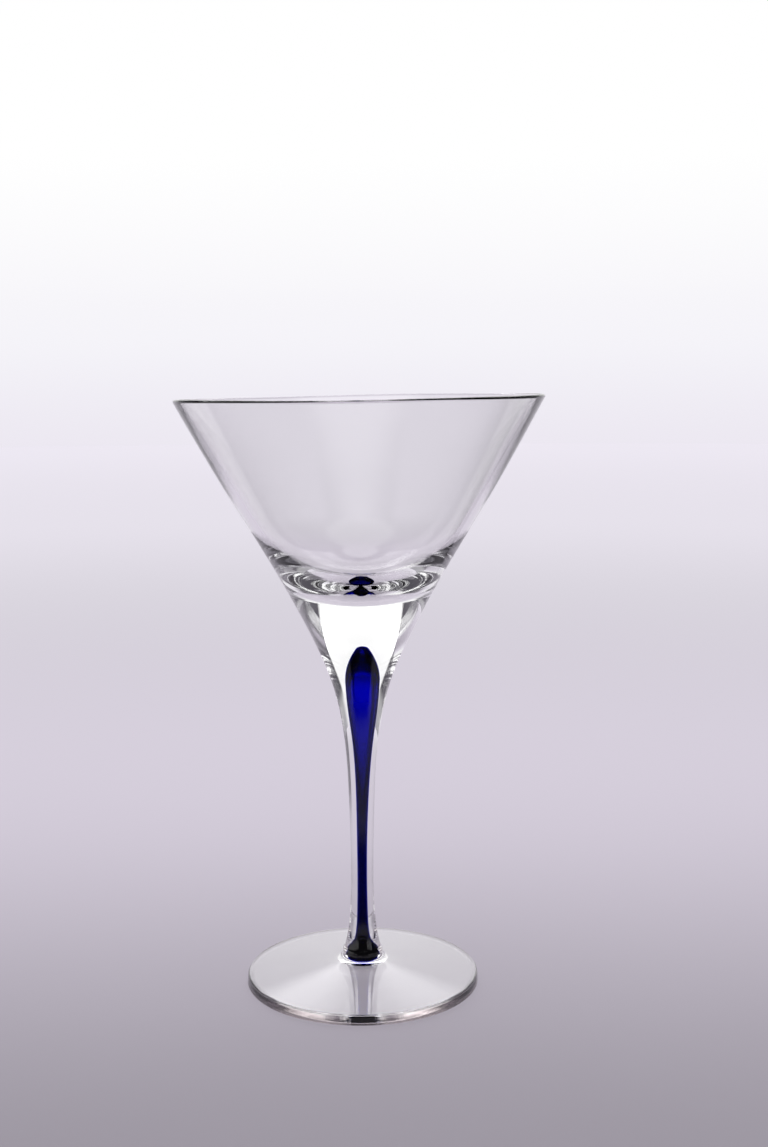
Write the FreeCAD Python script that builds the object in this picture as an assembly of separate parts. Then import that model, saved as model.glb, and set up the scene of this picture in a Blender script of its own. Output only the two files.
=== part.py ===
import FreeCAD, Part
import math
import os

# A hand-made martini glass: a clear bowl with a thick solid base, a clear stem cast
# around a hollow cobalt drop, and a clear foot. The three clear pieces are fused face
# to face where they meet. Every piece is turned about +Z, and the glass stands on z = 0.
# All sizes are in millimetres, and outlines are pairs of radius and height.

# Overall size
OVERALL_HEIGHT = 185.0
RIM_RADIUS = 56.5
RIM_THICKNESS = 1.3
RIM_SLOPE = 28.5            # degrees between the outside of the wall and the axis, at the rim

# Where the fused pieces meet
BOWL_JOINT_HEIGHT = 117.0
BOWL_JOINT_RADIUS = 18.2
FOOT_JOINT_HEIGHT = 8.9
FOOT_JOINT_RADIUS = 6.2

# Collar at the lower end of the stem
COLLAR_RADIUS = 6.3
COLLAR_HEIGHT = 9.8
NECK_RADIUS = 5.7
NECK_HEIGHT = 11.0
NECK_SLOPE = -16.0          # degrees from the axis, negative where the stem widens downwards

# Inside of the bowl: a round floor, a gentler shoulder and a straight wall up to the rim
CAVITY_FLOOR_HEIGHT = 125.4
CAVITY_FLOOR_RADIUS = 32.2
CAVITY_SHOULDER_RADIUS = 72.0
CAVITY_SHOULDER_SLOPE = 41.0

# Foot: a thin cone, hollowed underneath to an even thickness, that stands on a narrow flat ring
FOOT_RADIUS = 36.8
FOOT_TOP_EDGE_RADIUS = 36.5
FOOT_EDGE_HEIGHT = 3.2
FOOT_TOP_ROUNDING = 0.6
FOOT_BOTTOM_ROUNDING = 0.5
FOOT_RING_INNER_RADIUS = 34.2
FOOT_HOLLOW_SHOULDER = (9.0, 2.5)
FOOT_HOLLOW_HEIGHT = 2.9
FOOT_SWEEP = [(8.5, 7.2), (7.0, 7.8), (FOOT_JOINT_RADIUS, FOOT_JOINT_HEIGHT)]
FOOT_SWEEP_SLOPE = -35.0    # degrees from the axis, where the sweep ends at the collar

# Outside of stem and bowl, from the neck above the collar up to the bowl joint and on to the rim
STEM_WAIST = [(4.25, 19.0), (3.55, 38.0), (4.0, 58.0), (5.45, 79.5), (9.0, 96.0)]
BOWL_FLANK = [(27.5, 134.0), (39.5, 154.0)]

# Cobalt drop: a tail, drawn from its lower end up to its widest place, and above that a
# pointed shoulder with a small round tip. Its flared lower end sits in a socket of the foot.
DROP_TAIL = [
    (3.3, 5.5),
    (3.35, FOOT_JOINT_HEIGHT),
    (2.95, 10.3),
    (1.95, 12.5),
    (1.4, 15.5),
    (1.12, 22.0),
    (1.03, 42.0),
    (1.35, 62.0),
    (2.2, 79.0),
    (3.15, 90.5),
    (3.5, 98.0),
]
DROP_TIP_HEIGHT = 111.3
DROP_SHOULDER_RADIUS = 30.0

# Air tear sealed inside the drop: a pointed tail, a wide middle and a narrow neck above it
TEAR = [
    (0.0, 54.0),
    (0.6, 63.0),
    (1.65, 77.0),
    (2.7, 88.5),
    (3.12, 95.5),
    (2.95, 100.2),
    (2.1, 103.5),
    (1.25, 106.0),
    (0.9, 108.6),
    (0.0, 110.5),
]
TEAR_TAIL_SLOPE = 3.0


def point(radius, height):
    return FreeCAD.Vector(radius, 0, height)


def along(radius_step, height_step):
    return FreeCAD.Vector(radius_step, 0, height_step)


def upward(slope):
    """Unit direction that climbs at the given angle from the axis."""
    angle = math.radians(slope)
    return along(math.sin(angle), math.cos(angle))


def outward(slope):
    """Unit normal, away from the axis, of a wall that climbs at the given angle."""
    angle = math.radians(slope)
    return along(math.cos(angle), -math.sin(angle))


def line(start, end):
    return Part.LineSegment(start, end).toShape()


def arc(start, middle, end):
    return Part.Arc(start, middle, end).toShape()


def wall_arc(centre, radius, start_slope, end_slope):
    """Arc about centre, seen by the slopes of the wall at its two ends."""
    middle_slope = (start_slope + end_slope) / 2
    slopes = (start_slope, middle_slope, end_slope)
    return arc(*[centre + outward(slope) * radius for slope in slopes])


def smooth_curve(outline, **end_tangents):
    curve = Part.BSplineCurve()
    curve.interpolate(Points=[point(radius, height) for radius, height in outline], **end_tangents)
    return curve


def slope_at_end(curve):
    """Angle from the axis at which a curve leaves its last point."""
    direction = curve.tangent(curve.LastParameter)[0]
    return math.degrees(math.atan2(direction.x, direction.z))


def turned(edges):
    """Solid of revolution about the axis of a closed outline."""
    face = Part.Face(Part.Wire(edges))
    solid = face.revolve(FreeCAD.Vector(0, 0, 0), FreeCAD.Vector(0, 0, 1), 360)
    return solid


def rim_centre():
    half = RIM_THICKNESS / 2
    return point(RIM_RADIUS - half, OVERALL_HEIGHT - half)


def body_contour():
    """Outside of bowl and stem down to the neck in one curve, so that they meet smoothly."""
    rim_outside = rim_centre() + outward(RIM_SLOPE) * (RIM_THICKNESS / 2)
    outline = [(NECK_RADIUS, NECK_HEIGHT)]
    outline += STEM_WAIST
    outline += [(BOWL_JOINT_RADIUS, BOWL_JOINT_HEIGHT)]
    outline += BOWL_FLANK
    outline += [(rim_outside.x, rim_outside.z)]
    return smooth_curve(
        outline,
        InitialTangent=upward(NECK_SLOPE),
        FinalTangent=upward(RIM_SLOPE),
    )


def cavity_edges():
    """Inside of the bowl from its rim down to the middle of its floor, and the wall's slope."""
    half = RIM_THICKNESS / 2
    floor_centre = point(0, CAVITY_FLOOR_HEIGHT + CAVITY_FLOOR_RADIUS)
    shoulder_start = floor_centre + outward(CAVITY_SHOULDER_SLOPE) * CAVITY_FLOOR_RADIUS
    shoulder_centre = shoulder_start - outward(CAVITY_SHOULDER_SLOPE) * CAVITY_SHOULDER_RADIUS

    # The straight wall is tangent to the shoulder's circle and to the rim's round edge
    span = rim_centre() - shoulder_centre
    reach = math.acos((CAVITY_SHOULDER_RADIUS + half) / span.Length)
    wall_slope = math.degrees(reach - math.atan2(span.z, span.x))

    wall_top = rim_centre() - outward(wall_slope) * half
    wall_foot = shoulder_centre + outward(wall_slope) * CAVITY_SHOULDER_RADIUS
    wall = line(wall_top, wall_foot)
    shoulder = wall_arc(shoulder_centre, CAVITY_SHOULDER_RADIUS, wall_slope, CAVITY_SHOULDER_SLOPE)
    floor = wall_arc(floor_centre, CAVITY_FLOOR_RADIUS, CAVITY_SHOULDER_SLOPE, 90)
    return [wall, shoulder, floor], wall_slope


def bowl():
    contour = body_contour()
    joint = point(BOWL_JOINT_RADIUS, BOWL_JOINT_HEIGHT)
    flank = Part.Edge(contour, contour.parameter(joint), contour.LastParameter)
    inside, wall_slope = cavity_edges()
    half = RIM_THICKNESS / 2
    rim = arc(
        rim_centre() + outward(RIM_SLOPE) * half,
        rim_centre() + upward(RIM_SLOPE) * half,
        rim_centre() - outward(wall_slope) * half,
    )
    axis = line(point(0, CAVITY_FLOOR_HEIGHT), point(0, BOWL_JOINT_HEIGHT))
    joint_face = line(point(0, BOWL_JOINT_HEIGHT), joint)
    return turned([joint_face, flank, rim] + inside + [axis])


def drop_outside():
    """The drop with nothing taken out: it is what the stem and the foot are cast around."""
    tail_curve = smooth_curve(DROP_TAIL)
    slope = slope_at_end(tail_curve)
    shoulder_centre = point(*DROP_TAIL[-1]) - outward(slope) * DROP_SHOULDER_RADIUS

    # The tip's circle lies on the axis and touches the shoulder's circle from inside
    gap = -shoulder_centre.x
    rise = DROP_TIP_HEIGHT - shoulder_centre.z
    tip_radius = (DROP_SHOULDER_RADIUS**2 - gap**2 - rise**2) / (2 * (DROP_SHOULDER_RADIUS - rise))
    tip_centre = point(0, DROP_TIP_HEIGHT - tip_radius)
    reach = tip_centre - shoulder_centre
    meeting_slope = -math.degrees(math.atan2(reach.z, reach.x))

    end_radius, end_height = DROP_TAIL[0]
    return turned([
        tail_curve.toShape(),
        wall_arc(shoulder_centre, DROP_SHOULDER_RADIUS, slope, meeting_slope),
        wall_arc(tip_centre, tip_radius, meeting_slope, -90),
        line(point(0, DROP_TIP_HEIGHT), point(0, end_height)),
        line(point(0, end_height), point(end_radius, end_height)),
    ])


def air_tear():
    curve = smooth_curve(TEAR, InitialTangent=upward(TEAR_TAIL_SLOPE), FinalTangent=along(-1, 0))
    return turned([curve.toShape(), line(point(*TEAR[-1]), point(*TEAR[0]))])


def cobalt_drop():
    return drop_outside().cut(air_tear()).Solids[0]


def stem():
    contour = body_contour()
    joint = point(BOWL_JOINT_RADIUS, BOWL_JOINT_HEIGHT)
    flank = Part.Edge(contour, contour.FirstParameter, contour.parameter(joint))
    foot_joint = point(FOOT_JOINT_RADIUS, FOOT_JOINT_HEIGHT)
    foot_face = line(point(0, FOOT_JOINT_HEIGHT), foot_joint)
    collar = arc(foot_joint, point(COLLAR_RADIUS, COLLAR_HEIGHT), point(NECK_RADIUS, NECK_HEIGHT))
    bowl_face = line(joint, point(0, BOWL_JOINT_HEIGHT))
    axis = line(point(0, BOWL_JOINT_HEIGHT), point(0, FOOT_JOINT_HEIGHT))
    cast = turned([foot_face, collar, flank, bowl_face, axis])
    return cast.cut(drop_outside()).Solids[0]


def rounded_corner(before, corner, after, rounding):
    """The two ends and the middle of an arc that rounds a nearly square corner."""
    towards_before = (before - corner).normalize() * rounding
    towards_after = (after - corner).normalize() * rounding
    start = corner + towards_before
    end = corner + towards_after
    middle = corner + (towards_before + towards_after) * (1 - math.sqrt(0.5))
    return start, middle, end


def foot():
    ring_inner = point(FOOT_RING_INNER_RADIUS, 0)
    bottom_corner = point(FOOT_RADIUS, 0)
    top_corner = point(FOOT_TOP_EDGE_RADIUS, FOOT_EDGE_HEIGHT)
    sweep_start = point(*FOOT_SWEEP[0])
    joint = point(FOOT_JOINT_RADIUS, FOOT_JOINT_HEIGHT)

    bottom_round = rounded_corner(ring_inner, bottom_corner, top_corner, FOOT_BOTTOM_ROUNDING)
    top_round = rounded_corner(bottom_corner, top_corner, sweep_start, FOOT_TOP_ROUNDING)
    top_slope = (sweep_start - top_corner).normalize()

    # The hollow runs level from its middle and turns down into a straight cone
    hollow_top = (0.0, FOOT_HOLLOW_HEIGHT)
    hollow_shoulder = point(*FOOT_HOLLOW_SHOULDER)
    hollow_dome = smooth_curve(
        [hollow_top, FOOT_HOLLOW_SHOULDER],
        InitialTangent=along(1, 0),
        FinalTangent=(ring_inner - hollow_shoulder).normalize(),
    )
    sweep_end = upward(FOOT_SWEEP_SLOPE)
    sweep = smooth_curve(FOOT_SWEEP, InitialTangent=top_slope, FinalTangent=sweep_end)
    cast = turned([
        hollow_dome.toShape(),
        line(hollow_shoulder, ring_inner),
        line(ring_inner, bottom_round[0]),
        arc(*bottom_round),
        line(bottom_round[2], top_round[0]),
        arc(*top_round),
        line(top_round[2], sweep_start),
        sweep.toShape(),
        line(joint, point(0, FOOT_JOINT_HEIGHT)),
        line(point(0, FOOT_JOINT_HEIGHT), point(*hollow_top)),
    ])
    return cast.cut(drop_outside()).Solids[0]


def main():
    os.makedirs("parts", exist_ok=True)
    pieces = {"bowl": bowl(), "stem": stem(), "cobalt_drop": cobalt_drop(), "foot": foot()}
    for name, shape in pieces.items():
        shape.exportStep(os.path.join("parts", name + ".step"))
        box = shape.optimalBoundingBox()
        print(f"{name}: {shape.ShapeType}, valid {shape.isValid()}, {shape.Volume:.1f} mm3,"
              f" radius {box.XMax:.2f}, z {box.ZMin:.2f} to {box.ZMax:.2f}")


main()
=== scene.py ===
import math

import bpy
import numpy as np
from mathutils import Matrix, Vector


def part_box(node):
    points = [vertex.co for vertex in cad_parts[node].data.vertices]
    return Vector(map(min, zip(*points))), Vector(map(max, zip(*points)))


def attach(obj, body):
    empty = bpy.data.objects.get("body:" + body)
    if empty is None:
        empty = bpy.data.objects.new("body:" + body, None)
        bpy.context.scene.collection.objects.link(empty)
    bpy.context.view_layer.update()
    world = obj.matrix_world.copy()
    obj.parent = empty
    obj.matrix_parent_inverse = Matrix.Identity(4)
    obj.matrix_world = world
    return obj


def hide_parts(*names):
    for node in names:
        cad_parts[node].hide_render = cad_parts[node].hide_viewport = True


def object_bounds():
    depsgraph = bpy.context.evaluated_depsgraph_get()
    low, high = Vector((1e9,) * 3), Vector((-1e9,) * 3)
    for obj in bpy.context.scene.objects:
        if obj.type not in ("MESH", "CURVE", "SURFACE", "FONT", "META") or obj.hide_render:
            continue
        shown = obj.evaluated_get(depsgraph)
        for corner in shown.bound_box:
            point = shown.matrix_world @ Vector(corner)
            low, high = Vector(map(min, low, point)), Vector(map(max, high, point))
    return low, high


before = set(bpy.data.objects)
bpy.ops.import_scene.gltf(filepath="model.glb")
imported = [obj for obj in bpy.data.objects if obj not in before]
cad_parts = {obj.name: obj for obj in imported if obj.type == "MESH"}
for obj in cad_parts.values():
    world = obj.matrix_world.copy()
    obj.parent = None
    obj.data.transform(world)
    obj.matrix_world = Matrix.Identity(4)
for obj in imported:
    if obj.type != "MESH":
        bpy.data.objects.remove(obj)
cad_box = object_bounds()

# ---------------------------------------------------------------- sizes
# Millimetres, with outlines as points of (radius, height). Slopes are degrees from the axis,
# and negative where an outline comes in as it climbs.
MM = 0.001
HEIGHT = (cad_box[1].z - cad_box[0].z) / MM
RIM_RADIUS, RIM_THICKNESS, RIM_SLOPE = 56.5, 1.3, 28.5
BOWL_JOINT = (18.2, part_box("bowl")[0].z / MM)
FOOT_JOINT = (6.2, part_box("stem")[0].z / MM)
COLLAR, NECK, NECK_SLOPE = (6.3, 9.8), (5.7, 11.0), -16.0
BODY = [
    NECK, (4.25, 19.0), (3.55, 38.0), (4.0, 58.0), (5.45, 79.5), (9.0, 96.0),
    BOWL_JOINT, (27.5, 134.0), (39.5, 154.0),
]
CAVITY_FLOOR, CAVITY_FLOOR_RADIUS = 125.4, 32.2
CAVITY_SHOULDER_RADIUS, CAVITY_SHOULDER_SLOPE = 72.0, 41.0

DROP_TAIL = [
    (3.3, 5.5), (3.35, FOOT_JOINT[1]), (2.95, 10.3), (1.95, 12.5), (1.4, 15.5), (1.12, 22.0),
    (1.03, 42.0), (1.35, 62.0), (2.2, 79.0), (3.15, 90.5), (3.5, 98.0),
]
DROP_TIP, DROP_SHOULDER_RADIUS = 111.3, 30.0
TEAR = [
    (0.0, 54.0), (0.6, 63.0), (1.65, 77.0), (2.7, 88.5), (3.12, 95.5), (2.95, 100.2),
    (2.1, 103.5), (1.25, 106.0), (0.9, 108.6), (0.0, 110.5),
]
TEAR_TAIL_SLOPE = 3.0
SKIN_GAP = 0.02                         # from the stem's hollow to the skin of the drop

FOOT_RADIUS, FOOT_TOP_EDGE, FOOT_EDGE_HEIGHT = 36.8, 36.5, 3.2
FOOT_TOP_ROUNDING, FOOT_BOTTOM_ROUNDING = 0.6, 0.5
RING_INNER, HOLLOW_SHOULDER, HOLLOW_HEIGHT = 34.2, (9.0, 2.5), 2.9
SWEEP, SWEEP_SLOPE = [(8.5, 7.2), (7.0, 7.8), FOOT_JOINT], -35.0

# Unevenness of the handwork: how much higher the rim's right side is than its middle, the rim's
# waves as (number around, height, degrees), and the drop's place off the stem's axis
RIM_LEAN, LEANS_FROM = 0.69, 140.0
RIM_WAVES = ((2, 0.12, 40.0), (3, 0.1, 200.0), (5, 0.05, 80.0))
DROP_SHIFT, SHIFTS_BETWEEN, DROP_REACH = 0.3, (40.0, 85.0), 3.6

# Fineness of the meshes: faces around, heights of rows along curves, and numbers of rows
SEGMENTS = 288
FLANK_ROW, WALL_ROW, DROP_ROW, FINE_ROW, FOOT_ROW, HOLLOW_ROW = 0.5, 0.8, 0.4, 0.3, 0.8, 0.5
END_ROWS = np.array([0.06, 0.18])       # from each end of a curve, for smooth shading there
THINNEST_ROW, SLACK, ON_AXIS = 0.02, 0.01, 1e-6
DROP_SHOULDER_ROWS, DROP_TIP_ROWS = 50, 16
CAVITY_SHOULDER_ROWS, CAVITY_FLOOR_ROWS, RIM_ROWS = 40, 60, 24
COLLAR_ROWS, CORNER_ROWS, CONE_ROWS = 12, 8, 30
BOWL_JOINT_ROWS, FOOT_JOINT_ROWS, END_FACE_ROWS, RING_ROWS, EDGE_ROWS = 6, 3, 4, 6, 8
SHARP_FROM = 32                         # degrees between faces


# ---------------------------------------------------------------- outlines
def upward(slope):
    """Unit direction that climbs at the slope."""
    a = math.radians(slope)
    return np.array([math.sin(a), math.cos(a)])


def outward(slope):
    """Unit normal, away from the axis, of a wall that climbs at the slope."""
    a = math.radians(slope)
    return np.array([math.cos(a), -math.sin(a)])


def unit(end, start):
    """Unit direction from start to end."""
    d = np.subtract(end, start)
    return d / np.linalg.norm(d)


def run_length(curve):
    """Length along the curve at each of its points."""
    return np.concatenate([[0], np.cumsum(np.linalg.norm(np.diff(curve, axis=0), axis=1))])


def spline(points, start=None, end=None, step=0.02):
    """Cubic spline through the points over their chord length, with the unit end tangents given."""
    p = np.array(points, float)
    t = run_length(p)
    h = np.diff(t)
    slope = np.diff(p, axis=0) / h[:, None]
    n = len(p)
    a, b = np.zeros((n, n)), np.zeros((n, 2))
    for i in range(1, n - 1):
        a[i, i - 1:i + 2] = h[i - 1], 2 * (h[i - 1] + h[i]), h[i]
        b[i] = 6 * (slope[i] - slope[i - 1])
    a[0, 0] = a[-1, -1] = 1
    if start is not None:
        a[0, :2] = 2 * h[0], h[0]
        b[0] = 6 * (slope[0] - start)
    if end is not None:
        a[-1, -2:] = h[-1], 2 * h[-1]
        b[-1] = 6 * (end - slope[-1])
    m = np.linalg.solve(a, b)
    x = np.linspace(0, t[-1], max(4, int(t[-1] / step)))
    k = np.clip(np.searchsorted(t, x, side="right") - 1, 0, n - 2)
    left, right, hk = (x - t[k])[:, None], (t[k + 1] - x)[:, None], h[k][:, None]
    cubic = (m[k] * right**3 + m[k + 1] * left**3) / (6 * hk)
    from_left = (p[k + 1] / hk - m[k + 1] * hk / 6) * left
    return cubic + (p[k] / hk - m[k] * hk / 6) * right + from_left


def spaced(curve, step):
    """The curve in even rows, with finer ones at its two ends, so that it meets others smoothly."""
    t = run_length(curve)
    even = np.linspace(0, t[-1], max(3, int(t[-1] / step)))
    x = np.unique(np.concatenate([even, END_ROWS, t[-1] - END_ROWS]))
    x = x[np.concatenate([[True], np.diff(x) > THINNEST_ROW])]
    return np.stack([np.interp(x, t, curve[:, 0]), np.interp(x, t, curve[:, 1])], 1)


def wall_arc(centre, radius, start_slope, end_slope, count):
    """Arc about centre, given by the slopes of the wall at its two ends."""
    slopes = np.linspace(start_slope, end_slope, count + 1)
    return np.array([centre + outward(s) * radius for s in slopes])


def arc(start, middle, end, count):
    """Arc from start through middle to end."""
    a, b, c = (np.array(p, float) for p in (start, middle, end))
    rows = np.array([b - a, c - a])
    centre = a + np.linalg.solve(2 * rows, (rows**2).sum(axis=1))
    turns = np.unwrap([math.atan2(*(p - centre)[::-1]) for p in (a, b, c)])
    angles = np.linspace(turns[0], turns[2], count + 1)[:, None]
    return centre + np.linalg.norm(a - centre) * np.hstack([np.cos(angles), np.sin(angles)])


def corner(before, at, after, rounding):
    """An arc that rounds a nearly square corner."""
    u, v = unit(before, at), unit(after, at)
    a = np.linspace(0, math.pi / 2, CORNER_ROWS + 1)[:, None]
    return at + (u * (1 - np.sin(a)) + v * (1 - np.cos(a))) * rounding


def straight(a, b, count=1):
    a, b = np.array(a, float), np.array(b, float)
    return np.array([a + (b - a) * i / count for i in range(count + 1)])


def teardrop(tail, tip, shoulder, step):
    """A tail up to the widest place, a shoulder arc from there and a round tip on the axis."""
    curve = spline(tail)
    d = curve[-1] - curve[-2]
    slope = math.degrees(math.atan2(d[0], d[1]))
    centre = curve[-1] - outward(slope) * shoulder
    gap, rise = -centre[0], tip - centre[1]
    tip_radius = (shoulder**2 - gap**2 - rise**2) / (2 * (shoulder - rise))
    tip_centre = np.array([0, tip - tip_radius])
    reach = tip_centre - centre
    meeting = -math.degrees(math.atan2(reach[1], reach[0]))
    return np.concatenate([
        spaced(curve, step)[:-1],
        wall_arc(centre, shoulder, slope, meeting, DROP_SHOULDER_ROWS)[:-1],
        wall_arc(tip_centre, tip_radius, meeting, -90, DROP_TIP_ROWS),
    ])


def split(outline, height):
    """The rising outline as two, which share a point at the given height."""
    cut = np.array([[np.interp(height, outline[:, 1], outline[:, 0]), height]])
    lower = outline[:, 1] < height - THINNEST_ROW
    upper = outline[:, 1] > height + THINNEST_ROW
    return np.concatenate([outline[lower], cut]), np.concatenate([cut, outline[upper]])


def shrunk(outline, gap):
    """The outline moved inwards by gap, and kept on the axis where it ends there."""
    d = np.gradient(outline, axis=0)
    d /= np.linalg.norm(d, axis=1)[:, None]
    inner = outline + np.stack([-d[:, 1], d[:, 0]], 1) * gap
    inner[-1, 0] = 0
    return inner


HALF = RIM_THICKNESS / 2
RIM_CENTRE = np.array([RIM_RADIUS - HALF, HEIGHT - HALF])


def body_flanks():
    """Outside of stem and bowl. They are two parts of one curve, so they meet smoothly."""
    outline = BODY + [tuple(RIM_CENTRE + outward(RIM_SLOPE) * HALF)]
    body = spline(outline, upward(NECK_SLOPE), upward(RIM_SLOPE))
    below, above = body[:, 1] < BOWL_JOINT[1] - SLACK, body[:, 1] > BOWL_JOINT[1] + SLACK
    stem_side = spaced(np.concatenate([body[below], [BOWL_JOINT]]), FLANK_ROW)
    return stem_side, spaced(np.concatenate([[BOWL_JOINT], body[above]]), FLANK_ROW)


def rim_and_cavity():
    """The round rim, and the bowl's inside from there down to the middle of its floor."""
    floor_centre = np.array([0, CAVITY_FLOOR + CAVITY_FLOOR_RADIUS])
    to_shoulder = outward(CAVITY_SHOULDER_SLOPE) * (CAVITY_FLOOR_RADIUS - CAVITY_SHOULDER_RADIUS)
    shoulder_centre = floor_centre + to_shoulder
    span = RIM_CENTRE - shoulder_centre
    reach = math.acos((CAVITY_SHOULDER_RADIUS + HALF) / np.hypot(*span))
    wall_slope = math.degrees(reach - math.atan2(span[1], span[0]))
    wall_top = RIM_CENTRE - outward(wall_slope) * HALF
    wall_foot = shoulder_centre + outward(wall_slope) * CAVITY_SHOULDER_RADIUS
    angles = np.radians(np.linspace(-RIM_SLOPE, 180 - wall_slope, RIM_ROWS + 1))
    rim = RIM_CENTRE + HALF * np.stack([np.cos(angles), np.sin(angles)], 1)
    slopes = (wall_slope, CAVITY_SHOULDER_SLOPE)
    return rim, np.concatenate([
        spaced(straight(wall_top, wall_foot), WALL_ROW)[:-1],
        wall_arc(shoulder_centre, CAVITY_SHOULDER_RADIUS, *slopes, CAVITY_SHOULDER_ROWS)[:-1],
        wall_arc(floor_centre, CAVITY_FLOOR_RADIUS, slopes[1], 90, CAVITY_FLOOR_ROWS),
    ])


def foot_hollow():
    """Underside of the foot: level in the middle, then a straight cone down to the ring."""
    slope = unit((RING_INNER, 0), HOLLOW_SHOULDER)
    dome = spline([(0.0, HOLLOW_HEIGHT), HOLLOW_SHOULDER], np.array([1, 0]), slope)
    cone = straight(HOLLOW_SHOULDER, (RING_INNER, 0), CONE_ROWS)
    return np.concatenate([spaced(dome, HOLLOW_ROW)[:-1], cone])


drop = teardrop(DROP_TAIL, DROP_TIP, DROP_SHOULDER_RADIUS, DROP_ROW)
drop_in_foot, drop_in_stem = split(drop, FOOT_JOINT[1])
stem_flank, bowl_flank = body_flanks()


# ---------------------------------------------------------------- materials
def material(name):
    m = bpy.data.materials.new(name)
    m.use_nodes = True
    nt = m.node_tree
    nt.nodes.clear()
    return m, nt, nt.nodes.new("ShaderNodeOutputMaterial")


GLASS_IOR = 1.52
POLISH_FROM, POLISH_TO = 0.35, 0.75     # noise values of the smoothest and the roughest places
EDGE_TINT = (0.42, 0.37, 0.38)
COBALT, COBALT_DENSITY = (0.1, 0.0, 0.92), 20000


def glass(nt, stretch, ripple, smooth, rough, colour=(1, 1, 1)):
    """Glass whose surface ripples and whose polish varies a little from place to place.

    stretch is the number of ripples per metre along x, y and z, and ripple is their height in metres.
    """
    p = nt.nodes.new("ShaderNodeBsdfPrincipled")
    p.inputs["Base Color"].default_value = (*colour, 1)
    p.inputs["Transmission Weight"].default_value = 1
    p.inputs["IOR"].default_value = GLASS_IOR
    mapping = nt.nodes.new("ShaderNodeMapping")
    mapping.inputs["Scale"].default_value = stretch
    place = nt.nodes.new("ShaderNodeTexCoord").outputs["Object"]
    nt.links.new(place, mapping.inputs["Vector"])
    noise = nt.nodes.new("ShaderNodeTexNoise")
    noise.inputs["Scale"].default_value = 1
    noise.inputs["Detail"].default_value = 3
    nt.links.new(mapping.outputs[0], noise.inputs["Vector"])
    bump = nt.nodes.new("ShaderNodeBump")
    bump.inputs["Distance"].default_value = ripple
    nt.links.new(noise.outputs["Fac"], bump.inputs["Height"])
    nt.links.new(bump.outputs[0], p.inputs["Normal"])
    polish = nt.nodes.new("ShaderNodeMapRange")
    ends = (("From Min", POLISH_FROM), ("From Max", POLISH_TO), ("To Min", smooth), ("To Max", rough))
    for name, value in ends:
        polish.inputs[name].default_value = value
    nt.links.new(noise.outputs["Fac"], polish.inputs["Value"])
    nt.links.new(polish.outputs[0], p.inputs["Roughness"])
    return p.outputs[0]


def clear_glass():
    """Fire-polished glass with long, shallow ripples."""
    m, nt, out = material("clear_glass")
    surface = glass(nt, stretch=(90, 90, 45), ripple=0.00002, smooth=0.0, rough=0.006)
    nt.links.new(surface, out.inputs["Surface"])
    return m


def fused_joint():
    """A face inside the glass, where two pieces are fused, lets light through unchanged."""
    m, nt, out = material("fused_joint")
    nt.links.new(nt.nodes.new("ShaderNodeBsdfTransparent").outputs[0], out.inputs["Surface"])
    return m


def ground_ring():
    """The ring that the glass stands on is ground flat."""
    m, nt, out = material("ground_ring")
    surface = glass(nt, stretch=(9000, 9000, 9000), ripple=0.00001, smooth=0.1, rough=0.2)
    nt.links.new(surface, out.inputs["Surface"])
    return m


def foot_edge():
    """The foot's edge is finely uneven and looks a little grey-brown."""
    m, nt, out = material("foot_edge")
    surface = glass(
        nt, stretch=(1500, 1500, 150), ripple=0.00006, smooth=0.02, rough=0.12, colour=EDGE_TINT,
    )
    nt.links.new(surface, out.inputs["Surface"])
    return m


def cobalt_glass():
    """Blue all through. Its skin touches the clear glass, and only the tear inside bends light."""
    m, nt, out = material("cobalt_glass")
    absorb = nt.nodes.new("ShaderNodeVolumeAbsorption")
    absorb.inputs["Color"].default_value = (*COBALT, 1)
    absorb.inputs["Density"].default_value = COBALT_DENSITY
    nt.links.new(absorb.outputs[0], out.inputs["Volume"])
    is_tear = nt.nodes.new("ShaderNodeAttribute")
    is_tear.attribute_name = "tear"
    mix = nt.nodes.new("ShaderNodeMixShader")
    nt.links.new(is_tear.outputs["Fac"], mix.inputs["Fac"])
    nt.links.new(nt.nodes.new("ShaderNodeBsdfTransparent").outputs[0], mix.inputs[1])
    inside = glass(nt, stretch=(200, 200, 60), ripple=0.00002, smooth=0.0, rough=0.01)
    nt.links.new(inside, mix.inputs[2])
    nt.links.new(mix.outputs[0], out.inputs["Surface"])
    return m


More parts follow.
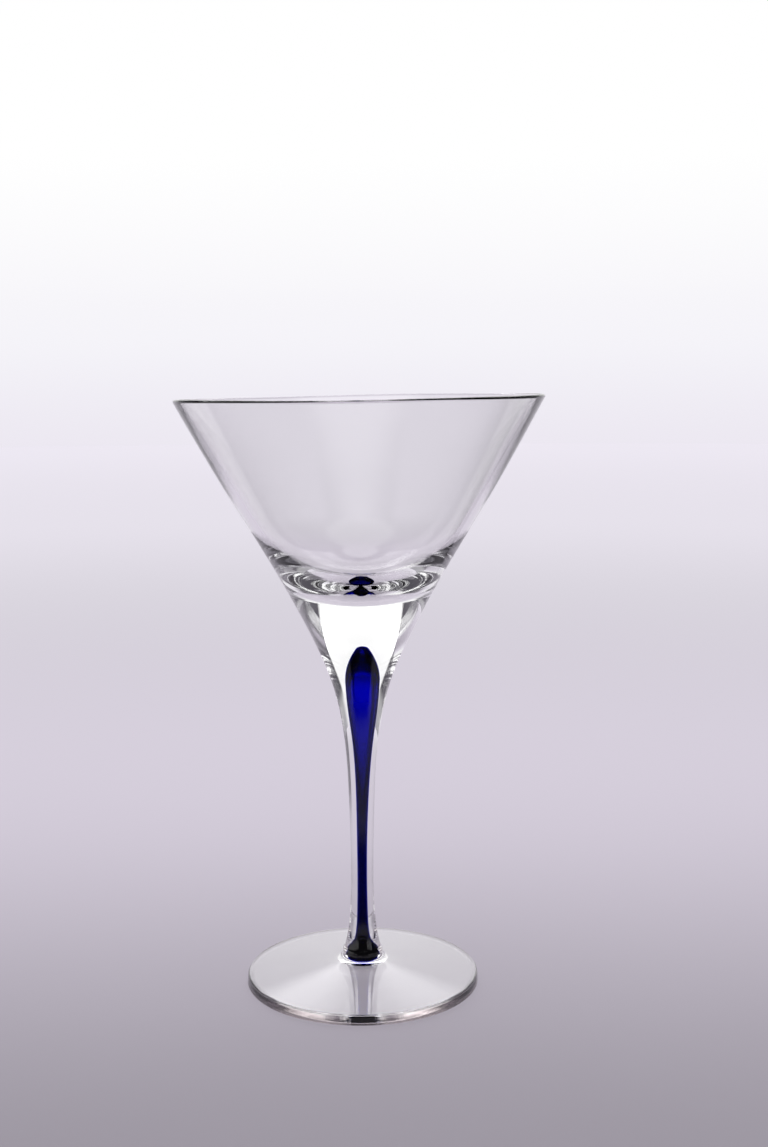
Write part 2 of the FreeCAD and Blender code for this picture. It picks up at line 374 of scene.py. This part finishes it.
# ---------------------------------------------------------------- pieces
def turned(name, runs, slots, attribute=None):
    """A closed mesh turned about the axis from runs of (outline, slot number).

    Neighbouring runs share the ring where they meet. Where attribute names one, its value is 1 on
    the faces of the last run and 0 on the others.
    """
    verts, faces, indices, marks = [], [], [], []
    angles = np.arange(SEGMENTS) * 2 * math.pi / SEGMENTS
    rings = {}

    def ring(point):
        """First vertex of the ring at a point of the outline, and its number of vertices."""
        key = (round(float(point[0]), 5), round(float(point[1]), 5))
        if key not in rings:
            radius, height = max(0.0, point[0]), point[1]
            count = 1 if radius < ON_AXIS else SEGMENTS
            rings[key] = (len(verts), count)
            around = angles[:count]
            verts.extend(zip(radius * np.cos(around), radius * np.sin(around), np.full(count, height)))
        return rings[key]

    for run, (outline, slot_index) in enumerate(runs):
        for p, q in zip(outline[:-1], outline[1:]):
            (a, a_count), (b, b_count) = ring(p), ring(q)
            if a == b:
                continue
            for j in range(SEGMENTS):
                k = (j + 1) % SEGMENTS
                if a_count == 1:
                    faces.append((a, b + k, b + j))
                elif b_count == 1:
                    faces.append((a + j, a + k, b))
                else:
                    faces.append((a + j, a + k, b + k, b + j))
                indices.append(slot_index)
                marks.append(float(run == len(runs) - 1))
    mesh = bpy.data.meshes.new(name)
    mesh.from_pydata([tuple(v) for v in np.array(verts) * MM], [], faces)
    for m in slots:
        mesh.materials.append(m)
    mesh.polygons.foreach_set("material_index", indices)
    mesh.polygons.foreach_set("use_smooth", [True] * len(faces))
    if attribute:
        mesh.attributes.new(attribute, "FLOAT", "FACE").data.foreach_set("value", marks)
    mesh.set_sharp_from_angle(angle=math.radians(SHARP_FROM))
    mesh.update()
    piece = bpy.data.objects.new(name, mesh)
    bpy.context.scene.collection.objects.link(piece)
    return piece


CLEAR, FUSED, GROUND, EDGE = range(4)
glass_slots = [clear_glass(), fused_joint(), ground_ring(), foot_edge()]


def martini_bowl():
    rim, cavity = rim_and_cavity()
    return turned("martini_bowl", [
        (straight((0, BOWL_JOINT[1]), BOWL_JOINT, BOWL_JOINT_ROWS), FUSED),
        (bowl_flank, CLEAR),
        (rim, CLEAR),
        (cavity, CLEAR),
    ], glass_slots[:2])


def drawn_stem():
    return turned("drawn_stem", [
        (drop_in_stem[::-1], FUSED),
        (straight(drop_in_stem[0], FOOT_JOINT, FOOT_JOINT_ROWS), FUSED),
        (arc(FOOT_JOINT, COLLAR, NECK, COLLAR_ROWS), CLEAR),
        (stem_flank, CLEAR),
        (straight(BOWL_JOINT, (0, BOWL_JOINT[1]), BOWL_JOINT_ROWS), FUSED),
    ], glass_slots[:2])


def cast_cobalt_drop():
    """The drop, with the air tear as a shell of its own inside it."""
    skin = shrunk(drop, SKIN_GAP)
    skin[0, 1] = drop[0, 1] + SKIN_GAP
    tear = spaced(spline(TEAR, upward(TEAR_TAIL_SLOPE), np.array([-1, 0])), FINE_ROW)
    return turned("cast_cobalt_drop", [
        (straight((0, skin[0, 1]), skin[0], END_FACE_ROWS), 0),
        (skin, 0),
        (tear[::-1], 0),
    ], [cobalt_glass()], "tear")


def round_foot():
    ring_start, bottom_corner = (RING_INNER, 0), (FOOT_RADIUS, 0.0)
    top_corner = (FOOT_TOP_EDGE, FOOT_EDGE_HEIGHT)
    bottom_round = corner(ring_start, bottom_corner, top_corner, FOOT_BOTTOM_ROUNDING)
    top_round = corner(bottom_corner, top_corner, SWEEP[0], FOOT_TOP_ROUNDING)
    sweep = spline(SWEEP, unit(SWEEP[0], top_corner), upward(SWEEP_SLOPE))
    return turned("round_foot", [
        (foot_hollow(), CLEAR),
        (straight(ring_start, bottom_round[0], RING_ROWS), GROUND),
        (bottom_round, EDGE),
        (straight(bottom_round[-1], top_round[0], EDGE_ROWS), EDGE),
        (top_round, CLEAR),
        (spaced(straight(top_round[-1], SWEEP[0]), FOOT_ROW), CLEAR),
        (spaced(sweep, FINE_ROW), CLEAR),
        (straight(FOOT_JOINT, drop_in_foot[-1], FOOT_JOINT_ROWS), FUSED),
        (drop_in_foot[::-1], FUSED),
        (straight(drop_in_foot[0], (0, drop_in_foot[0][1]), END_FACE_ROWS), FUSED),
    ], glass_slots)


def eased(value, low, high):
    t = np.clip((value - low) / (high - low), 0, 1)
    return t * t * (3 - 2 * t)


def moved(piece, change):
    """Moves the vertices of a piece by change, a function of their places in millimetres."""
    flat = np.empty(len(piece.data.vertices) * 3)
    piece.data.vertices.foreach_get("co", flat)
    places = flat.reshape(-1, 3) / MM
    places += change(places)
    piece.data.vertices.foreach_set("co", (places * MM).ravel())
    piece.data.update()


def uneven_rim(places):
    """The hand-worked rim is higher on the right and waves a little."""
    x, y, z = places.T
    around = np.arctan2(y, x)
    waves = sum(a * np.sin(n * around + math.radians(o)) for n, a, o in RIM_WAVES)
    rise = eased(z, LEANS_FROM, HEIGHT) * (RIM_LEAN * x / RIM_RADIUS + waves)
    return np.stack([0 * x, 0 * x, rise], 1)


def off_centre(places):
    """The drop sits a little to the right of the stem's axis, and its tail runs back to it."""
    x, y, z = places.T
    inside = (np.hypot(x, y) < DROP_REACH) * (z < DROP_TIP + SLACK)
    return np.stack([DROP_SHIFT * eased(z, *SHIFTS_BETWEEN) * inside, 0 * x, 0 * x], 1)


bowl, stem, cobalt_drop, foot = martini_bowl(), drawn_stem(), cast_cobalt_drop(), round_foot()
moved(bowl, uneven_rim)
moved(stem, off_centre)
moved(cobalt_drop, off_centre)

for piece, node, slot in (
    (bowl, "bowl", "clear_glass"),
    (stem, "stem", "clear_glass"),
    (foot, "foot", "clear_glass"),
    (cobalt_drop, "cobalt_drop", "cobalt_glass"),
):
    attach(piece, "root")
    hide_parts(node)

# ---------------------------------------------------------------- camera
CAMERA_AT = (0.0, -463.8, 190.63)       # millimetres
PITCH, YAW, ROLL = 7.372, 0.906, -0.2535
LENS = 47.394
CLIP_START, CLIP_END = 0.01, 20


def photo_camera():
    pitch, yaw, roll = (math.radians(a) for a in (PITCH, YAW, ROLL))
    level = math.cos(pitch)
    ahead = np.array([math.sin(yaw) * level, math.cos(yaw) * level, -math.sin(pitch)])
    right = np.array([math.cos(yaw), -math.sin(yaw), 0])
    up = np.cross(right, ahead)
    x_axis = math.cos(roll) * right + math.sin(roll) * up
    y_axis = -math.sin(roll) * right + math.cos(roll) * up
    camera = bpy.data.objects.new("camera", bpy.data.cameras.new("camera"))
    camera.data.lens = LENS
    camera.data.clip_start, camera.data.clip_end = CLIP_START, CLIP_END
    turn = Matrix([[x_axis[i], y_axis[i], -ahead[i]] for i in range(3)])
    camera.matrix_world = Matrix.Translation([c * MM for c in CAMERA_AT]) @ turn.to_4x4()
    bpy.context.scene.collection.objects.link(camera)
    bpy.context.scene.camera = camera


photo_camera()
scene = bpy.context.scene
scene.view_settings.view_transform = "Standard"
scene.cycles.max_bounces = 32
scene.cycles.transmission_bounces = 32
scene.cycles.glossy_bounces = 16
scene.cycles.transparent_max_bounces = 48


# ---------------------------------------------------------------- nodes for the stage
class Maths:
    """Short calls for the maths nodes of one tree. A value is a socket or a number."""

    def __init__(self, nt):
        self.nt = nt

    def put(self, value, socket):
        if isinstance(value, (int, float)):
            socket.default_value = value
        elif isinstance(value, tuple):
            socket.default_value = (*value, 1)
        else:
            self.nt.links.new(value, socket)

    def __call__(self, operation, *values):
        n = self.nt.nodes.new("ShaderNodeMath")
        n.operation = operation
        for socket, value in zip(n.inputs, values):
            self.put(value, socket)
        return n.outputs[0]

    def step(self, value, low, high, to_low=0.0, to_high=1.0):
        """Eases from to_low at low to to_high at high."""
        n = self.nt.nodes.new("ShaderNodeMapRange")
        n.interpolation_type = "SMOOTHSTEP"
        self.put(value, n.inputs["Value"])
        ends = (("From Min", low), ("From Max", high), ("To Min", to_low), ("To Max", to_high))
        for name, end in ends:
            self.put(end, n.inputs[name])
        return n.outputs[0]

    def between(self, value, low, high, soft):
        """1 where value lies between low and high, with soft edges outside them."""
        rise = self.step(value, low - soft, low)
        return self("MULTIPLY", rise, self.step(value, high, high + soft, 1.0, 0.0))

    def ramp(self, value, stops):
        """A colour from stops of (value, colour), in rising order."""
        low, high = stops[0][0], stops[-1][0]
        n = self.nt.nodes.new("ShaderNodeValToRGB")
        n.color_ramp.interpolation = "CARDINAL"
        while len(n.color_ramp.elements) > 1:
            n.color_ramp.elements.remove(n.color_ramp.elements[-1])
        for i, (at, colour) in enumerate(stops):
            place = (at - low) / (high - low)
            e = n.color_ramp.elements[0] if i == 0 else n.color_ramp.elements.new(place)
            e.position = place
            e.color = (*colour, 1)
        scaled = self("DIVIDE", self("SUBTRACT", value, low), high - low)
        self.nt.links.new(scaled, n.inputs[0])
        return n.outputs[0]

    def mixed(self, factor, a, b, kind="MIX"):
        n = self.nt.nodes.new("ShaderNodeMix")
        n.data_type = "RGBA"
        n.blend_type = kind
        n.clamp_factor = False
        for socket, value in ((n.inputs["Factor"], factor), (n.inputs[6], a), (n.inputs[7], b)):
            self.put(value, socket)
        return n.outputs[2]

    def unseen(self, amount):
        """The amount, and 0 for what the camera sees directly."""
        seen = self.nt.nodes.new("ShaderNodeLightPath").outputs["Is Camera Ray"]
        return self("MULTIPLY", amount, self("SUBTRACT", 1.0, seen))

    def degrees(self, operation, *values):
        return self("MULTIPLY", self(operation, *values), 180 / math.pi)


# ---------------------------------------------------------------- backdrop
# A bearing is in degrees from straight behind the glass, positive to the right, an azimuth is one
# without its sign, and an elevation is in degrees. Four numbers are a step: low, high, the level
# at low and the level at high. Two are a step from 0 to 1, and three are a span: low, high and how
# softly it ends.
FLOOR_EDGE_LEVEL, HORIZON_LEVEL = 0.8, 0.81
FAR_TINT, NEAR_TINT = (1.04, 1.0, 1.09), (1.08, 1.0, 1.15)
HORIZON = tuple(HORIZON_LEVEL * c for c in FAR_TINT)
WHITE, DARK = (1, 1, 1), (0.06, 0.057, 0.068)
BACKDROP = [
    (-4, HORIZON), (-2.4, HORIZON), (0.7, (0.90, 0.885, 0.935)), (3.4, (0.94, 0.93, 0.96)),
    (8, WHITE), (16, WHITE),
]
# Extra light from above, by elevation, and a long strip light, brighter at its left
UPPER_GLOW, OVERHEAD_GLOW = (16, 32, 1.0, 1.2), (50, 60, 0.0, 0.6)
STRIP_HEIGHT, STRIP_LEVEL = (34, 36, 7), (-25, 25, 2.5, 1.5)
# Dark areas beside and in front of the glass, which only its reflections and refractions see.
# Their edge moves out as they climb.
HIGH_EDGE, HIGH_EDGE_SOFT, HIGH_EDGE_CLIMB, CLIMBS_FROM = 30.0, 4.0, 0.6, 12.0
LOW_EDGES, LOW_TO_HIGH = ((28, 40, 0.0, 0.6), (60, 70, 0.0, 0.4)), (6, 14)
DARK_ABOVE = (62, 68)
# Pale gaps in them: one at the left, one low down on both sides, and the ceiling in front
LEFT_GAP, LEFT_GAP_TOP = (-122, -70, 6), (22, 28, 1.0, 0.0)
LOW_GAP, LOW_GAP_TOP = (120, 150, 3), (5, 9, 1.0, 0.0)
CEILING_SIDES, CEILING_FROM, ZENITH_FROM = (100, 125), (54, 60), (72, 78)


def dark_share(m, bearing, azimuth, elevation):
    """How dark each direction is, from 0 for the pale backdrop to 1."""
    climb = m("MAXIMUM", m("SUBTRACT", elevation, CLIMBS_FROM), 0.0)
    edge = m("ADD", HIGH_EDGE, m("MULTIPLY", climb, HIGH_EDGE_CLIMB))
    high = m.step(azimuth, edge, m("ADD", edge, HIGH_EDGE_SOFT))
    low = m("ADD", *(m.step(azimuth, *e) for e in LOW_EDGES))
    upper = m.step(elevation, *LOW_TO_HIGH)
    beside = m("ADD", m("MULTIPLY", high, upper), m("MULTIPLY", low, m("SUBTRACT", 1.0, upper)))
    left_gap = m("MULTIPLY", m.between(bearing, *LEFT_GAP), m.step(elevation, *LEFT_GAP_TOP))
    low_gap = m("MULTIPLY", m.between(azimuth, *LOW_GAP), m.step(elevation, *LOW_GAP_TOP))
    beside = m("MULTIPLY", beside, m("SUBTRACT", 1.0, m("MAXIMUM", left_gap, low_gap)))
    front = m("MULTIPLY", m.step(azimuth, *CEILING_SIDES), m.step(elevation, *CEILING_FROM))
    ceiling = m("MAXIMUM", front, m.step(elevation, *ZENITH_FROM))
    dark = m("MAXIMUM", beside, m.step(elevation, *DARK_ABOVE))
    return m("MULTIPLY", dark, m("SUBTRACT", 1.0, ceiling))


def backdrop():
    world = bpy.data.worlds.new("studio")
    scene.world = world
    world.use_nodes = True
    nt = world.node_tree
    m = Maths(nt)
    direction = nt.nodes.new("ShaderNodeSeparateXYZ")
    nt.links.new(nt.nodes.new("ShaderNodeTexCoord").outputs["Generated"], direction.inputs[0])
    dx, dy, dz = direction.outputs
    bearing, elevation = m.degrees("ARCTAN2", dx, dy), m.degrees("ARCSINE", dz)
    azimuth = m("ABSOLUTE", bearing)
    strip = m("MULTIPLY", m.between(elevation, *STRIP_HEIGHT), m.step(bearing, *STRIP_LEVEL))
    above = m("ADD", m("ADD", m.step(elevation, *UPPER_GLOW), strip), m.step(elevation, *OVERHEAD_GLOW))
    pale = m.mixed(1.0, m.ramp(elevation, BACKDROP), above, "MULTIPLY")
    dark = m.unseen(dark_share(m, bearing, azimuth, elevation))
    nt.links.new(m.mixed(dark, pale, DARK), nt.nodes["Background"].inputs[0])


# ---------------------------------------------------------------- floor
# Metres from the glass, with x to the right and y to the back. Most of the paper's light is its
# own glow, and a small part is what it scatters.
FLOOR_RADIUS, FLOOR_SIDES, FLOOR_GAP = 4.0, 96, 0.0002
FLOOR_ALBEDO, SCATTERED_LEVEL = 0.12, 0.07
FAR_LEVEL = 0.74
FLOOR_LEVEL = (0.45, 1.6, 0.615, FAR_LEVEL)
EDGE_LEVEL = (1.2, FLOOR_RADIUS, 0.0, FLOOR_EDGE_LEVEL - FAR_LEVEL)
TINT_CHANGE = (0.1, 1.0)
# A soft shade around a place before the glass, with its reach behind that place and before it
SHADE, SHADE_Y, SHADE_BEHIND, SHADE_BEFORE = 0.32, -0.15, 0.22, 0.5
SHADE_ENDS, SHADE_SIDES = (0.3, 1.3, 1.0, 0.0), (0.15, 0.6, 1.0, 0.0)
# Dark areas that only the glass sees, at the right and in front
RIGHT_DARK, RIGHT_DARK_FROM = (45, 118, 5), (0.18, 0.32, 0.0, 0.75)
FRONT_DARK = (145, 190, 10)
CLOSE_DARK, CLOSE_DARK_LEVEL, APART_DARK = (0.08, 0.12, 0.03), 0.94, (0.22, 0.35, 0.0, 0.75)


def floor_shade(m, x, y, distance):
    offset = m("ADD", y, -SHADE_Y)
    behind = m("DIVIDE", m("MAXIMUM", offset, 0.0), SHADE_BEHIND)
    before = m("DIVIDE", m("MINIMUM", offset, 0.0), SHADE_BEFORE)
    square = m("ADD", m("MULTIPLY", behind, behind), m("MULTIPLY", before, before))
    shade = m("EXPONENT", m("MULTIPLY", square, -1.0))
    shade = m("MULTIPLY", shade, m.step(distance, *SHADE_ENDS))
    shade = m("MULTIPLY", shade, m.step(m("ABSOLUTE", x), *SHADE_SIDES))
    return m("MULTIPLY", shade, SHADE)


def floor_dark(m, x, y, distance):
    bearing = m.degrees("ARCTAN2", x, y)
    right = m("MULTIPLY", m.between(bearing, *RIGHT_DARK), m.step(distance, *RIGHT_DARK_FROM))
    close = m("MULTIPLY", m.between(distance, *CLOSE_DARK), CLOSE_DARK_LEVEL)
    front = m("MAXIMUM", close, m.step(distance, *APART_DARK))
    front = m("MULTIPLY", m.between(m("ABSOLUTE", bearing), *FRONT_DARK), front)
    return m("MAXIMUM", right, front)


def paper_sweep():
    paper, nt, out = material("paper_sweep")
    m = Maths(nt)
    where = nt.nodes.new("ShaderNodeSeparateXYZ")
    nt.links.new(nt.nodes.new("ShaderNodeTexCoord").outputs["Object"], where.inputs[0])
    x, y, _ = where.outputs
    distance = m("SQRT", m("ADD", m("MULTIPLY", x, x), m("MULTIPLY", y, y)))
    level = m("ADD", m.step(distance, *FLOOR_LEVEL), m.step(distance, *EDGE_LEVEL))
    level = m("SUBTRACT", level, floor_shade(m, x, y, distance))
    lit = m("SUBTRACT", 1.0, m.unseen(floor_dark(m, x, y, distance)))
    glow = nt.nodes.new("ShaderNodeEmission")
    nt.links.new(m.mixed(m.step(distance, *TINT_CHANGE), NEAR_TINT, FAR_TINT), glow.inputs[0])
    nt.links.new(m("SUBTRACT", m("MULTIPLY", level, lit), SCATTERED_LEVEL), glow.inputs[1])
    diffuse = nt.nodes.new("ShaderNodeBsdfDiffuse")
    diffuse.inputs[0].default_value = (*(FLOOR_ALBEDO * c for c in NEAR_TINT), 1)
    both = nt.nodes.new("ShaderNodeAddShader")
    nt.links.new(diffuse.outputs[0], both.inputs[0])
    nt.links.new(glow.outputs[0], both.inputs[1])
    nt.links.new(both.outputs[0], out.inputs["Surface"])
    return paper


def paper_floor():
    mesh = bpy.data.meshes.new("floor")
    angles = np.linspace(0, 2 * math.pi, FLOOR_SIDES + 1)[:-1]
    ring = [(FLOOR_RADIUS * math.cos(a), FLOOR_RADIUS * math.sin(a), 0) for a in angles]
    mesh.from_pydata(ring, [], [tuple(range(FLOOR_SIDES))])
    mesh.materials.append(paper_sweep())
    floor = bpy.data.objects.new("floor", mesh)
    floor.location = (0, 0, -FLOOR_GAP)
    scene.collection.objects.link(floor)


backdrop()
paper_floor()
